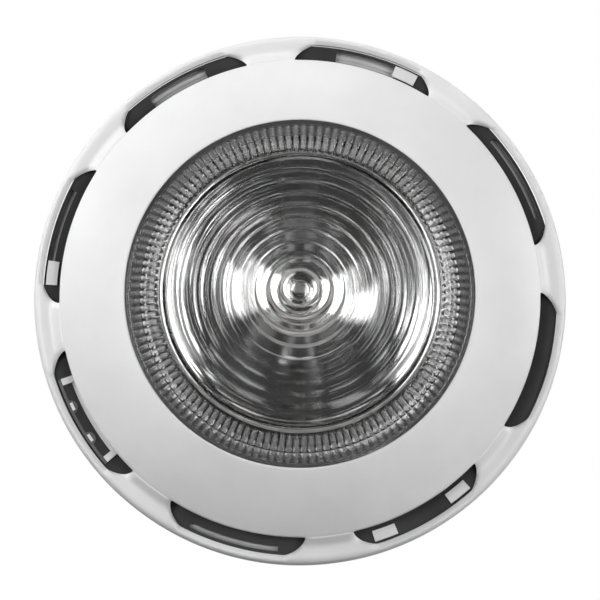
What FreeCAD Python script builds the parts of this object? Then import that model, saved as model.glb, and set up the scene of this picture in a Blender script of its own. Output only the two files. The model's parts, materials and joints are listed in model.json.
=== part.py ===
import FreeCAD, Part
import math
import os
import Sketcher
from FreeCAD import Placement, Rotation, Vector

# Underwater pool light, in millimetres. +Z is up and the lamp's axis is the Y axis. The light faces -Y.
# The origin is on the axis, in the plane of the wall that the light is fastened to.
# Outlines are given as (distance from the axis, place along Y).
# "front" sizes are distances in front of the wall plane.

SIZES = {
    # face ring
    "outer_radius": 135,
    "rim_inner_radius": 131.2,
    "rim_front": 11.9,
    "rim_gap": 0.6,
    "edge_radius": 121.9,
    "edge_front": 16.4,
    "crown_radius": 105.5,
    "crown_front": 26.9,
    "lip_radius": 88.4,
    "lip_front": 34,
    "shell": 2.4,
    "slot_outer_radius": 130.4,
    "slot_inner_half_angle": 16.75,
    "slot_outer_half_angle": 12,
    "lug_inner_radius": 128.6,
    "lug_front": 4.8,
    "lug_thickness": 2.2,
    "lug_half_angle": 2.5,
    # carrier ring
    "carrier_inner_radius": 104.6,
    "carrier_outer_radius": 130.3,
    "carrier_front": 7.4,
    "carrier_thickness": 2.2,
    "window_inner_radius": 119.5,
    "window_outer_radius": 129,
    "window_half_angle": 7.1,
    "gap_inner_radius": 126.2,
    "gap_half_angle": 10.5,
    "notch_half_angle": 2.8,
    "unlock_angle": 6.2,
    # clips and lock bracket on the carrier ring
    "clip_front": 9.2,
    "clip_inner_radius": 123.6,
    "clip_outer_radius": 129.2,
    "clip_half_angle": 2.75,
    "bracket_half_angle": 10.9,
    "bracket_rib_half_angle": 0.75,
    "bracket_inner_radius": 119.2,
    "bracket_bar_radius": 123.2,
    "bracket_rail_radius": 128.1,
    "bracket_outer_radius": 129.6,
    "bracket_latch_angle": 4.1,
    "bracket_latch_radius": 3.4,
    # base ring and wall gasket
    "gasket_thickness": 1.5,
    "gasket_outer_radius": 130.6,
    "base_front": 4.6,
    "base_inner_radius": 95,
    "base_outer_radius": 128.2,
    "base_groove_radius": 122.6,
    "base_band_radius": 123.8,
    "wall_hole_radius": 2.75,
    "wall_hole_circle_radius": 102,
    # lens
    "lens_flange_radius": 94,
    "lens_flange_front": 26.8,
    "lens_flange_back": 23.8,
    "lens_step_radius": 89.4,
    "lens_step_front": 31.8,
    "lens_wall": 3.4,
    "flute_outer_radius": 86,
    "flute_inner_radius": 73,
    "flute_inner_front": 38.6,
    "disc_radius": 70.8,
    "disc_front": 40.8,
    "shoulder_radius": 58,
    "shoulder_front": 47.2,
    "lens_front": 50,
    "ring_pitch": 6.1,
    "ring_depth": 0.9,
    # housing, clamp ring and their screws
    "flange_front": 21.5,
    "flange_back": 16,
    "flange_step_radius": 104,
    "flange_step_front": 18.8,
    "flange_radius": 113,
    "bowl_mouth_radius": 79.5,
    "bowl_radius": 88,
    "bowl_back": 56,
    "bowl_wall": 3,
    "boss_radius": 5.2,
    "clamp_inner_radius": 90,
    "clamp_outer_radius": 103.5,
    "clamp_front": 28.6,
    "clamp_edge_front": 24.3,
    "clamp_screw_circle_radius": 99,
    "clamp_screw_radius": 2,
    "clamp_head_front": 25.3,
    "clamp_head_height": 2,
    "clamp_head_radius": 3.4,
    "insert_radius": 3,
    "insert_length": 4.5,
    "unit_screw_circle_radius": 109,
    "unit_screw_radius": 2,
    "unit_head_radius": 3.8,
    # reflector and bulb
    "mirror_radius": 68.5,
    "mirror_front": 34.5,
    "mirror_vertex": 10.5,
    "mirror_hole_radius": 13.5,
    "mirror_sheet": 1.2,
    "mirror_foot_radius": 84.5,
    "bulb_radius": 6.5,
    "bulb_wall": 1,
    "bulb_front": 31,
    "bulb_cap_radius": 7.5,
    "bulb_cap_back": 17,
    "filament_half_length": 7,
    # lamp holder and bracket
    "holder_radius": 12,
    "holder_clearance": 0.06,
    "holder_front": 2,
    "holder_back": 30,
    "bracket_strap_width": 26,
    "bracket_strap_half_length": 54,
    "bracket_strap_sheet": 1.5,
    "post_offset": 46,
    # cable gland
    "gland_seat": 60,
    "gland_thread_radius": 10,
    "gland_bore_radius": 6.5,
    "cable_bore_radius": 5,
    "gland_flats_radius": 15,
}

WATER_SLOTS = 8
CLAMP_SCREWS = 8
BAYONET_LUGS = 4
SLOT_TURN = 22.5
CLIP_ANGLES = (112.5 - 54.4, 112.5 + 54.4, 292.5 - 9.6, 292.5 + 9.6)
BRACKET_ANGLE = 202.5
WINDOW_ANGLES = (67.5, 112.5)
GAP_ANGLES = (22.5, 157.5, 247.5)

doc = FreeCAD.newDocument("underwater_pool_light")
sheet = doc.addObject("Spreadsheet::Sheet", "Sizes")
finished = []


class Size:
    """A number that also carries the sheet expression it comes from."""

    def __init__(self, value, text):
        self.value = value
        self.text = text

    def __add__(self, other):
        other = as_size(other)
        return Size(self.value + other.value, f"({self.text} + {other.text})")

    def __radd__(self, other):
        return as_size(other) + self

    def __sub__(self, other):
        other = as_size(other)
        return Size(self.value - other.value, f"({self.text} - {other.text})")

    def __rsub__(self, other):
        return as_size(other) - self

    def __mul__(self, other):
        other = as_size(other)
        return Size(self.value * other.value, f"({self.text} * {other.text})")

    def __rmul__(self, other):
        return self * other

    def __truediv__(self, other):
        other = as_size(other)
        return Size(self.value / other.value, f"({self.text} / {other.text})")

    def __neg__(self):
        return 0 - self


def as_size(number):
    if isinstance(number, Size):
        return number
    return Size(float(number), f"{float(number):.6f}")


def polar(radius, angle):
    """The point at a radius and an angle in degrees, both driven by the sheet."""
    radius, angle = as_size(radius), as_size(angle)
    turn = math.radians(angle.value)
    along = Size(radius.value * math.cos(turn), f"({radius.text} * cos({angle.text}))")
    across = Size(radius.value * math.sin(turn), f"({radius.text} * sin({angle.text}))")
    return along, across


class Via:
    """The middle point of an arc in an outline."""

    def __init__(self, x, y):
        self.point = (x, y)


def fill_sheet():
    sizes = type("Sizes", (), {})()
    for row, (alias, number) in enumerate(SIZES.items(), start=1):
        sheet.set(f"A{row}", str(number))
        sheet.setAlias(f"A{row}", alias)
        setattr(sizes, alias, Size(float(number), f"Sizes.{alias}"))
    doc.recompute()
    return sizes


def bind(thing, prop, size):
    thing.setExpression(prop, as_size(size).text)


def hold_point(sketch, curve, end, x, y):
    """Fix one end of a curve at sheet-driven coordinates."""
    for kind, size, axis in (("DistanceX", as_size(x), -2), ("DistanceY", as_size(y), -1)):
        if abs(size.value) < 1e-9:
            sketch.addConstraint(Sketcher.Constraint("PointOnObject", curve, end, axis))
            continue
        index = sketch.addConstraint(Sketcher.Constraint(kind, -1, 1, curve, end, size.value))
        name = f"{kind}_{curve}_{end}"
        sketch.renameConstraint(index, name)
        bind(sketch, f"Constraints.{name}", size)


def vector(point):
    return Vector(as_size(point[0]).value, as_size(point[1]).value, 0)


def near_end(sketch, curve, point):
    """Which end of the curve, 1 or 2, lies at the point: arcs may be stored the other way round."""
    gaps = [(sketch.getPoint(curve, end) - vector(point)).Length for end in (1, 2)]
    return 1 if gaps[0] < gaps[1] else 2


def draw_outline(sketch, outline):
    """Draw a closed outline of lines, with an arc wherever a Via stands between two corners."""
    corners = [(i, p) for i, p in enumerate(outline) if not isinstance(p, Via)]
    curves = []
    for n, (i, start) in enumerate(corners):
        end = corners[(n + 1) % len(corners)][1]
        middle = outline[(i + 1) % len(outline)]
        if isinstance(middle, Via):
            curve = sketch.addGeometry(Part.Arc(vector(start), vector(middle.point), vector(end)), False)
        else:
            curve = sketch.addGeometry(Part.LineSegment(vector(start), vector(end)), False)
        curves.append((curve, start, end, middle))
    for n, (curve, start, end, middle) in enumerate(curves):
        here, there = near_end(sketch, curve, end), curves[(n + 1) % len(curves)][0]
        sketch.addConstraint(
            Sketcher.Constraint("Coincident", curve, here, there, near_end(sketch, there, end)))
    for curve, start, end, middle in curves:
        hold_point(sketch, curve, near_end(sketch, curve, start), *start)
        if isinstance(middle, Via):
            point = sketch.addGeometry(Part.Point(vector(middle.point)), True)
            hold_point(sketch, point, 1, *middle.point)
            sketch.addConstraint(Sketcher.Constraint("PointOnObject", point, 1, curve))


def draw_circle(sketch, x, y, radius):
    curve = sketch.addGeometry(Part.Circle(vector((x, y)), Vector(0, 0, 1), as_size(radius).value), False)
    hold_point(sketch, curve, 3, x, y)
    index = sketch.addConstraint(Sketcher.Constraint("Radius", curve, as_size(radius).value))
    sketch.renameConstraint(index, f"Radius_{curve}")
    bind(sketch, f"Constraints.Radius_{curve}", radius)


def sector(inner, outer, half_angle):
    """An outline between two radii, centred on the sketch's own X axis."""
    return [polar(inner, -half_angle), polar(outer, -half_angle), Via(outer, 0),
            polar(outer, half_angle), polar(inner, half_angle), Via(inner, 0)]


def origin_part(body, role):
    return [f for f in body.Origin.OriginFeatures if f.Role == role][0]


def new_body(label):
    body = doc.addObject("PartDesign::Body", label)
    body.Label = label
    return body


def new_sketch(body, role):
    sketch = body.newObject("Sketcher::SketchObject", f"{body.Name}_sketch")
    sketch.AttachmentSupport = [(origin_part(body, role), "")]
    sketch.MapMode = "FlatFace"
    return sketch


def turned(label, outline, angle=None):
    """A body of revolution about the Y axis: all the way round, or an arc centred on the bracket's angle."""
    body = new_body(label)
    sketch = new_sketch(body, "XY_Plane")
    draw_outline(sketch, outline)
    turn = body.newObject("PartDesign::Revolution", f"{label}_turn")
    turn.Profile = sketch
    turn.ReferenceAxis = (sketch, ["V_Axis"])
    turn.Angle = 360
    if angle:
        bind(turn, "Angle", angle)
        turn.Midplane = True
        sketch.AttachmentOffset = Placement(Vector(0, 0, 0), Rotation(Vector(0, 1, 0), -BRACKET_ANGLE))
    doc.recompute()
    return body


def face_sketch(body, y, turn):
    """A sketch square to the axis at the given Y, seen from the front, turned about the axis."""
    sketch = new_sketch(body, "XZ_Plane")
    sketch.AttachmentOffset = Placement(Vector(0, 0, -as_size(y).value), Rotation(Vector(0, 0, 1), turn))
    bind(sketch, "AttachmentOffset.Base.z", -as_size(y))
    return sketch


def repeat(body, feature, count):
    if count > 1:
        pattern = body.newObject("PartDesign::PolarPattern", f"{feature.Name}_pattern")
        pattern.Originals = [feature]
        pattern.Axis = (origin_part(body, "Y_Axis"), [""])
        pattern.Angle = 360
        pattern.Occurrences = count
        body.Tip = pattern
    doc.recompute()


def pocket(body, y, depth, draw, count=1, turn=0):
    """Cut from Y towards the wall side, count times round the axis, and check that it did cut."""
    before = body.Shape.Volume
    sketch = face_sketch(body, y, turn)
    draw(sketch)
    cut = body.newObject("PartDesign::Pocket", f"{body.Name}_pocket")
    cut.Profile = sketch
    bind(cut, "Length", depth)
    doc.recompute()
    repeat(body, cut, count)
    assert body.Shape.Volume < before - 0.1, f"a pocket in {body.Label} cut nothing"


def pad(body, y, depth, draw, count=1, turn=0):
    """Add material from Y towards the wall side, count times round the axis."""
    before = body.Shape.Volume if body.Tip else 0
    sketch = face_sketch(body, y, turn)
    draw(sketch)
    boss = body.newObject("PartDesign::Pad", f"{body.Name}_pad")
    boss.Profile = sketch
    boss.Reversed = True
    bind(boss, "Length", depth)
    doc.recompute()
    repeat(body, boss, count)
    assert body.Shape.Volume > before + 0.1, f"a pad on {body.Label} added nothing"


def keep(thing):
    finished.append(thing)
    return thing


def place(angle, radius, y):
    """Where a piece goes at an angle round the axis, turned to keep its own X pointing outwards."""
    turn = math.radians(angle)
    spot = Vector(radius * math.cos(turn), y, radius * math.sin(turn))
    return Placement(spot, Rotation(Vector(0, 1, 0), -angle))


def group(label, master, places):
    """Identical separate solids in one node."""
    shapes = []
    for spot in places:
        copy = master.Shape.copy()
        copy.Placement = spot.multiply(copy.Placement)
        shapes.append(copy)
    gathered = doc.addObject("Part::Feature", label)
    gathered.Label = label
    gathered.Shape = Part.makeCompound(shapes)
    return keep(gathered)


def pan_screw(label, head_radius, head_height, shank_radius, length):
    """A screw on the Y axis: the head's underside is at Y = 0 and the shank runs to +Y."""
    half = head_height * 0.5
    body = turned(label, [(0, 0 - head_height), (head_radius * 0.7, 0 - head_height),
                          Via(head_radius * 0.93, 0 - head_height * 0.8), (head_radius, 0 - half),
                          (head_radius, 0), (shank_radius, 0), (shank_radius, length), (0, length)])
    cross_slot(body, head_height, head_radius)
    return body


def cross_slot(body, head_height, head_radius):
    """A plain cross recess in a screw head."""
    arm, width = head_radius * 0.55, head_radius * 0.13
    corners = [(arm, width), (width, width), (width, arm), (-width, arm),
               (-width, width), (-arm, width), (-arm, -width), (-width, -width),
               (-width, -arm), (width, -arm), (width, -width), (arm, -width)]
    pocket(body, 0 - head_height, head_height * 0.5, lambda sketch: draw_outline(sketch, corners))


def hex_solid(label, body, flats_radius, start, length):
    """Cut a turned body to a hexagon across its flats."""
    prism = doc.addObject("Part::Prism", f"{label}_hexagon")
    prism.Polygon = 6
    bind(prism, "Circumradius", flats_radius / math.cos(math.radians(30)))
    bind(prism, "Height", length)
    prism.Placement = Placement(Vector(0, start.value, 0), Rotation(Vector(1, 0, 0), -90))
    bind(prism, "Placement.Base.y", start)
    common = doc.addObject("Part::Common", label)
    common.Base = body
    common.Tool = prism
    common.Label = label
    doc.recompute()
    return common


s = fill_sheet()


def make_face_ring():
    fall = (s.edge_front - s.rim_front) / (s.rim_inner_radius - s.edge_radius)
    under = s.shell * 1.16
    rim_under = s.rim_front + 0.6 - under
    ring = turned("face_ring", [
        (s.lip_radius, -s.lip_front),
        Via(s.crown_radius, -s.crown_front),
        (s.edge_radius, -s.edge_front),
        (s.rim_inner_radius, -(s.rim_front - 0.6)),
        Via(s.outer_radius - 1.5, -(s.rim_front - 0.7)),
        (s.outer_radius, -(s.rim_front - 3)),
        (s.outer_radius, -s.rim_gap),
        (s.rim_inner_radius, -s.rim_gap),
        (s.rim_inner_radius, -(rim_under - fall * 1.2)),
        (s.edge_radius - 0.9, -(s.edge_front - under + 0.5)),
        Via(s.crown_radius - 0.9, -(s.crown_front - under + 0.3)),
        (s.lip_radius + 2.8, -(s.lip_front - 3.5)),
        (s.lip_radius + 1.6, -(s.lip_front - 1.8)),
        (s.lip_radius, -(s.lip_front - 1.6)),
    ])
    slot = [
        polar(s.edge_radius, -s.slot_inner_half_angle),
        polar(s.slot_outer_radius, -s.slot_outer_half_angle),
        Via(s.slot_outer_radius, 0),
        polar(s.slot_outer_radius, s.slot_outer_half_angle),
        polar(s.edge_radius, s.slot_inner_half_angle),
        Via(s.edge_radius, 0),
    ]
    pocket(ring, -s.lip_front, s.lip_front - s.lug_front,
           lambda k: draw_outline(k, slot), WATER_SLOTS, SLOT_TURN)
    lug = sector(s.lug_inner_radius, s.rim_inner_radius + 1, s.lug_half_angle)
    pad(ring, -s.lug_front, s.lug_thickness, lambda k: draw_outline(k, lug), BAYONET_LUGS)
    keep(ring)


def make_carrier_ring():
    back = s.carrier_front - s.carrier_thickness
    shelf = s.flange_back - 2.5
    ring = turned("carrier_ring", [
        (s.carrier_inner_radius, -s.flange_back),
        (s.flange_radius + 1, -s.flange_back),
        (s.window_inner_radius - 1, -s.carrier_front),
        (s.carrier_outer_radius, -s.carrier_front),
        (s.carrier_outer_radius, -back),
        (s.window_inner_radius - 2, -back),
        (s.flange_radius, -shelf),
        (s.carrier_inner_radius, -shelf),
    ])
    window = sector(s.window_inner_radius, s.window_outer_radius, s.window_half_angle)
    gap = sector(s.gap_inner_radius, s.window_outer_radius, s.gap_half_angle)
    for opening, angles in ((window, WINDOW_ANGLES), (gap, GAP_ANGLES)):
        for angle in angles:
            pocket(ring, -s.carrier_front - 1, s.carrier_thickness + 2,
                   lambda k: draw_outline(k, opening), 1, angle)
    notch = sector(s.lug_inner_radius - 0.4, s.carrier_outer_radius + 2, s.notch_half_angle)
    pocket(ring, -s.carrier_front - 1, s.carrier_thickness + 2, lambda k: draw_outline(k, notch),
           BAYONET_LUGS, SIZES["unlock_angle"])
    hole = s.unit_screw_radius + 0.25
    pocket(ring, -s.flange_back, s.flange_back - shelf + 1,
           lambda k: draw_circle(k, s.unit_screw_circle_radius, 0, hole), 4)
    keep(ring)


def make_base_ring():
    back = s.gasket_thickness
    ring = turned("base_ring", [
        (s.base_inner_radius, -s.base_front),
        (s.base_groove_radius, -s.base_front),
        (s.base_groove_radius, -(s.base_front - 1.4)),
        (s.base_band_radius, -(s.base_front - 1.4)),
        (s.base_band_radius, -(s.base_front - 0.6)),
        (s.base_band_radius + 1, -(s.base_front - 0.6)),
        (s.base_band_radius + 1, -(s.base_front - 1.5)),
        (s.base_band_radius + 1.6, -(s.base_front - 1.5)),
        (s.base_band_radius + 1.6, -(s.base_front - 0.6)),
        (s.base_outer_radius - 1.1, -(s.base_front - 0.6)),
        (s.base_outer_radius, -(s.base_front - 1.7)),
        (s.base_outer_radius, -back),
        (s.base_inner_radius, -back),
    ])
    shelf = s.flange_back - 2.5
    pad(ring, -shelf, shelf - s.base_front + 1,
        lambda k: draw_circle(k, s.unit_screw_circle_radius, 0, s.boss_radius - 1.3), 4)
    pocket(ring, -shelf - 1, shelf - back + 2,
           lambda k: draw_circle(k, s.unit_screw_circle_radius, 0, s.unit_screw_radius + 0.02), 4)
    pocket(ring, -s.base_front - 1, s.base_front + 1,
           lambda k: draw_circle(k, s.wall_hole_circle_radius, 0, s.wall_hole_radius), 4, 45)
    keep(ring)


def make_wall_gasket():
    seal = turned("wall_gasket", [
        (s.base_inner_radius + 2, -s.gasket_thickness),
        (s.gasket_outer_radius, -s.gasket_thickness),
        (s.gasket_outer_radius, 0),
        (s.base_inner_radius + 2, 0),
    ])
    for radius, count, turn in ((s.wall_hole_circle_radius, 4, 45), (s.unit_screw_circle_radius, 4, 0)):
        pocket(seal, -s.gasket_thickness - 1, s.gasket_thickness + 2,
               lambda k: draw_circle(k, radius, 0, s.wall_hole_radius + 0.4), count, turn)
    keep(seal)


def make_clips_and_bracket():
    height = s.clip_front - s.carrier_front
    clip = new_body("ring_clip")
    pad(clip, -s.clip_front, height,
        lambda k: draw_outline(k, sector(s.clip_inner_radius, s.clip_outer_radius, s.clip_half_angle)))
    group("ring_clips", clip, [place(angle, 0, 0) for angle in CLIP_ANGLES])

    keep_lock_bracket(height)


def keep_lock_bracket(height):
    """Over one slot: a bracket with a hollowed inner bar and two ribs, and a rail with two latches."""
    span, rib = s.bracket_half_angle, s.bracket_rib_half_angle
    bracket = turned("lock_bracket", [
        (s.bracket_inner_radius, -s.carrier_front),
        (s.bracket_inner_radius, -s.clip_front),
        (s.bracket_inner_radius + 0.4, -s.clip_front),
        Via(s.bracket_inner_radius + 1.5, -(s.carrier_front + 0.75)),
        (s.bracket_bar_radius, -(s.carrier_front + 0.3)),
        (s.bracket_bar_radius, -s.carrier_front),
    ], span * 2)
    arm = sector(s.bracket_inner_radius + 2.2, s.bracket_rail_radius - 0.1, rib)
    for side in (-1, 1):
        pad(bracket, -s.clip_front, height, lambda k: draw_outline(k, arm), 1,
            BRACKET_ANGLE + side * (span.value - rib.value))
    keep(bracket)

    rail = new_body("lock_rail")
    low, flat, reach = s.clip_front - 0.9, s.bracket_rail_radius + 0.2, s.bracket_latch_radius
    turns = [BRACKET_ANGLE + side * SIZES["bracket_latch_angle"] for side in (-1, 1)]
    beam = sector(s.bracket_rail_radius, s.bracket_outer_radius, span)
    pad(rail, -low, height - 0.9, lambda k: draw_outline(k, beam), 1, BRACKET_ANGLE)
    for turn in turns:
        pad(rail, -low, height - 0.9,
            lambda k: draw_outline(k, [(flat, -reach), Via(flat - reach, 0), (flat, reach)]), 1, turn)
    keep(rail)

    tab = new_body("lock_tab")
    pad(tab, -(s.clip_front - 0.1), 0.8, lambda k: draw_outline(k, [
        (flat - 1.5, -2), (flat, -2), (flat, 2), (flat - 1.5, 2)]))
    group("lock_tabs", tab, [place(turn, 0, 0) for turn in turns])


def lens_inner_height(radius):
    """How far in front of the wall the inside of the lens disc is, without its prism rings."""
    drop = s.shoulder_front - s.lens_wall
    rise = s.lens_front - s.shoulder_front
    share = radius / s.shoulder_radius
    return drop + rise * (1 - share * share)


def make_lens():
    wall = s.lens_wall
    inner_disc = s.disc_radius - 3
    outline = [
        (0, -s.lens_front),
        Via(s.shoulder_radius * 0.5, -(s.lens_front * 0.75 + s.shoulder_front * 0.25)),
        (s.shoulder_radius, -s.shoulder_front),
        Via(s.disc_radius - 3.8, -(s.disc_front + 3.6)),
        (s.disc_radius, -s.disc_front),
        (s.flute_inner_radius, -s.flute_inner_front),
        (s.flute_outer_radius, -s.lens_step_front),
        (s.lens_step_radius, -s.lens_step_front),
        (s.lens_step_radius, -s.lens_flange_front),
        (s.lens_flange_radius, -s.lens_flange_front),
        (s.lens_flange_radius, -s.lens_flange_back),
        (s.flute_outer_radius, -s.lens_flange_back),
        (s.flute_outer_radius, -(s.lens_step_front - wall - 0.8)),
        (s.flute_inner_radius - 0.8, -(s.flute_inner_front - wall)),
        (inner_disc, -(s.disc_front - wall)),
    ]
    for ring in range(9, 0, -1):
        radius = s.ring_pitch * ring
        outline.append((radius, -lens_inner_height(radius)))
        outline.append((radius, -(lens_inner_height(radius) + s.ring_depth)))
    outline.append((0, -(s.lens_front - wall)))
    keep(turned("lens", outline))


def make_lens_gasket():
    keep(turned("lens_gasket", [
        (s.flute_outer_radius + 0.3, -s.lens_flange_back), (s.lens_flange_radius - 0.2, -s.lens_flange_back),
        (s.lens_flange_radius - 0.2, -s.flange_front), (s.flute_outer_radius + 0.3, -s.flange_front)]))


def make_clamp_ring():
    ring = turned("clamp_ring", [
        (s.clamp_inner_radius, -s.clamp_front),
        (s.lens_flange_radius + 0.5, -s.clamp_front),
        (s.clamp_outer_radius, -s.clamp_edge_front),
        (s.clamp_outer_radius, -s.flange_front),
        (s.lens_flange_radius + 0.5, -s.flange_front),
        (s.lens_flange_radius + 0.5, -s.lens_flange_front),
        (s.clamp_inner_radius, -s.lens_flange_front),
    ])
    seat = s.clamp_head_front - s.clamp_head_height
    pocket(ring, -s.clamp_front - 1, s.clamp_front + 1 - seat,
           lambda k: draw_circle(k, s.clamp_screw_circle_radius, 0, s.clamp_head_radius + 0.3),
           CLAMP_SCREWS, SLOT_TURN)
    pocket(ring, -s.clamp_front - 1, s.clamp_front,
           lambda k: draw_circle(k, s.clamp_screw_circle_radius, 0, s.clamp_screw_radius + 0.2),
           CLAMP_SCREWS, SLOT_TURN)
    keep(ring)


def round_the_axis(count, turn, radius, y):
    return [place(turn + 360 / count * step, radius, y) for step in range(count)]


def make_clamp_fasteners():
    circle = SIZES["clamp_screw_circle_radius"]
    seat = SIZES["clamp_head_front"] - SIZES["clamp_head_height"]
    screw = pan_screw("clamp_screw", s.clamp_head_radius, s.clamp_head_height, s.clamp_screw_radius,
                      s.insert_length + 1.5)
    group("clamp_screws", screw, round_the_axis(CLAMP_SCREWS, SLOT_TURN, circle, -seat))
    bore = s.clamp_screw_radius + 0.02
    insert = turned("threaded_insert", [
        (bore, 0), (s.insert_radius, 0), (s.insert_radius, s.insert_length * 0.4),
        (s.insert_radius - 0.3, s.insert_length * 0.45), (s.insert_radius - 0.3, s.insert_length * 0.55),
        (s.insert_radius, s.insert_length * 0.6), (s.insert_radius, s.insert_length),
        (bore, s.insert_length)])
    group("threaded_inserts", insert,
          round_the_axis(CLAMP_SCREWS, SLOT_TURN, circle, -SIZES["flange_front"]))


def make_unit_screws():
    drop = s.unit_head_radius - s.unit_screw_radius
    length = s.flange_step_front - s.base_front + 2
    body = turned("lamp_unit_screw", [
        (0, 0), (s.unit_head_radius, 0), (s.unit_head_radius, 0.3), (s.unit_screw_radius, drop + 0.3),
        (s.unit_screw_radius, length), (0, length)])
    arm, width = s.unit_head_radius * 0.5, s.unit_head_radius * 0.12
    slot = [(arm, width), (-arm, width), (-arm, -width), (arm, -width)]
    pocket(body, 0, 1.0, lambda k: draw_outline(k, slot))
    group("lamp_unit_screws", body,
          round_the_axis(4, 0, SIZES["unit_screw_circle_radius"], -SIZES["flange_step_front"]))


def make_housing_bowl():
    ledge = s.flange_front - 0.5 - s.mirror_sheet
    wall = s.bowl_wall
    back = s.bowl_back
    bowl = turned("housing_bowl", [
        (s.mirror_foot_radius + 0.5, -s.flange_front),
        (s.flange_step_radius, -s.flange_front),
        (s.flange_step_radius, -s.flange_step_front),
        (s.flange_radius, -s.flange_step_front),
        (s.flange_radius, -s.flange_back),
        (s.bowl_radius, -s.flange_back),
        (s.bowl_radius, -6),
        Via(s.bowl_radius - 13, back * 0.55),
        (s.gland_flats_radius + 25, back),
        (s.gland_flats_radius + 4, back),
        (s.gland_flats_radius + 3, s.gland_seat),
        (s.gland_thread_radius + 0.2, s.gland_seat),
        (s.gland_thread_radius + 0.2, back - wall),
        (s.gland_flats_radius + 23.5, back - wall),
        Via(s.bowl_radius - 13 - wall, back * 0.55 - 1),
        (s.bowl_radius - wall, -6),
        (s.bowl_radius - wall, -13),
        (s.bowl_mouth_radius, -ledge + 3),
        (s.bowl_mouth_radius, -ledge),
        (s.mirror_foot_radius + 0.5, -ledge),
    ])
    pocket(bowl, -s.flange_front - 1, s.insert_length + 1,
           lambda k: draw_circle(k, s.clamp_screw_circle_radius, 0, s.insert_radius), CLAMP_SCREWS, SLOT_TURN)
    pocket(bowl, -s.flange_step_front - 1, s.flange_step_front,
           lambda k: draw_circle(k, s.unit_screw_circle_radius, 0, s.unit_head_radius + 0.1), 4)
    post = s.holder_back + s.bracket_strap_sheet
    pad(bowl, post, s.bowl_back - wall - post - 1.8,
        lambda k: draw_circle(k, s.post_offset, 0, s.boss_radius), 2)
    pocket(bowl, post - 1, 11, lambda k: draw_circle(k, s.post_offset, 0, 2.02), 2)
    pocket(bowl, -ledge - 1, 4, lambda k: draw_circle(k, 82, 0, 1.22), 3, 90)
    keep(bowl)


def mirror_radius_at(y):
    """The reflector's inner surface is a paraboloid through its rim, with its vertex on the axis."""
    depth = s.mirror_vertex + s.mirror_front
    share = (s.mirror_vertex.value - y) / depth.value
    return s.mirror_radius.value * math.sqrt(share)


def make_reflector():
    """Spun sheet: the paraboloid from the bulb hole to the rim, then a skirt out and back to a flat foot."""
    sheet_thick = s.mirror_sheet
    steps = 10
    inner, outer = [], []
    for step in range(steps + 1):
        radius = s.mirror_hole_radius + (s.mirror_radius - s.mirror_hole_radius) * (step / steps)
        share = radius / s.mirror_radius
        y = s.mirror_vertex - (s.mirror_vertex + s.mirror_front) * share * share
        inner.append((radius, y))
        outer.append((radius, y + sheet_thick * (1 + 0.9 * step / steps)))
    foot = -(s.flange_front - 0.5)
    outline = inner + [
        (s.mirror_radius + 1.7, -s.mirror_front + 0.4),
        (s.mirror_foot_radius - 7, -s.mirror_front + 4.3),
        (s.mirror_foot_radius - 5.8, foot),
        (s.mirror_foot_radius, foot),
        (s.mirror_foot_radius, foot + sheet_thick),
        (s.mirror_foot_radius - 7, foot + sheet_thick),
        (s.mirror_foot_radius - 8.2, -s.mirror_front + 5.1),
        (s.mirror_radius + 1.2, -s.mirror_front + 2.1),
    ] + outer[::-1]
    body = turned("reflector", outline)
    pocket(body, foot - 1, 3, lambda k: draw_circle(k, 82, 0, 1.4), 3, 90)
    keep(body)
    screw = pan_screw("reflector_screw", as_size(1.9), as_size(0.9), as_size(1.2), as_size(3.4))
    group("reflector_screws", screw, round_the_axis(3, 90, 82, foot.value))


def make_bulb():
    focus_front = 15.6
    outer, inner = s.bulb_radius, s.bulb_radius - s.bulb_wall
    front = s.bulb_front
    keep(turned("bulb_glass", [
        (0, -front), (1, -front), Via(outer * 0.76, -(front - 2.2)), (outer, -(front - outer)),
        (outer, 4), (0, 4),
        (0, 2.6), (inner - 1, 2.6), (inner, 1.4), (inner, -(front - outer)),
        Via(inner * 0.76, -(front - 2.2 - s.bulb_wall)), (0.8, -(front - s.bulb_wall)),
        (0, -(front - s.bulb_wall))]))
    cap = turned("bulb_cap", [
        (outer + 0.02, -1), (s.bulb_cap_radius, -1), (s.bulb_cap_radius, s.bulb_cap_back),
        (4.5, s.bulb_cap_back), (4.5, s.bulb_cap_back - 1), (outer + 0.02, s.bulb_cap_back - 1)])
    pin = [(s.bulb_cap_radius - 0.5, -0.9), (s.bulb_cap_radius + 1, -0.9),
           (s.bulb_cap_radius + 1, 0.9), (s.bulb_cap_radius - 0.5, 0.9)]
    pad(cap, s.bulb_cap_back - 6, 1.8, lambda k: draw_outline(k, pin), 2)
    keep(cap)
    keep(turned("bulb_base", [
        (0, s.bulb_cap_back - 5), (outer, s.bulb_cap_back - 5), (outer, s.bulb_cap_back - 1.1),
        (4.4, s.bulb_cap_back - 1.1), (4.4, s.bulb_cap_back + 0.5), (0, s.bulb_cap_back + 0.5)]))
    contact = turned("bulb_contact", [(0, 0), (1.2, 0), (1.2, 0.6), (0.7, 1.2), (0, 1.2)])
    group("bulb_contacts", contact,
          [place(angle, 2.4, SIZES["bulb_cap_back"] + 0.5) for angle in (90, 270)])
    coil = turned("filament", [
        (0, -(focus_front + s.filament_half_length)), (1.1, -(focus_front + s.filament_half_length)),
        (1.1, -(focus_front - s.filament_half_length)), (0.3, -(focus_front - s.filament_half_length)),
        (0.3, 2.4), (0, 2.4)])
    keep(coil)


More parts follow.
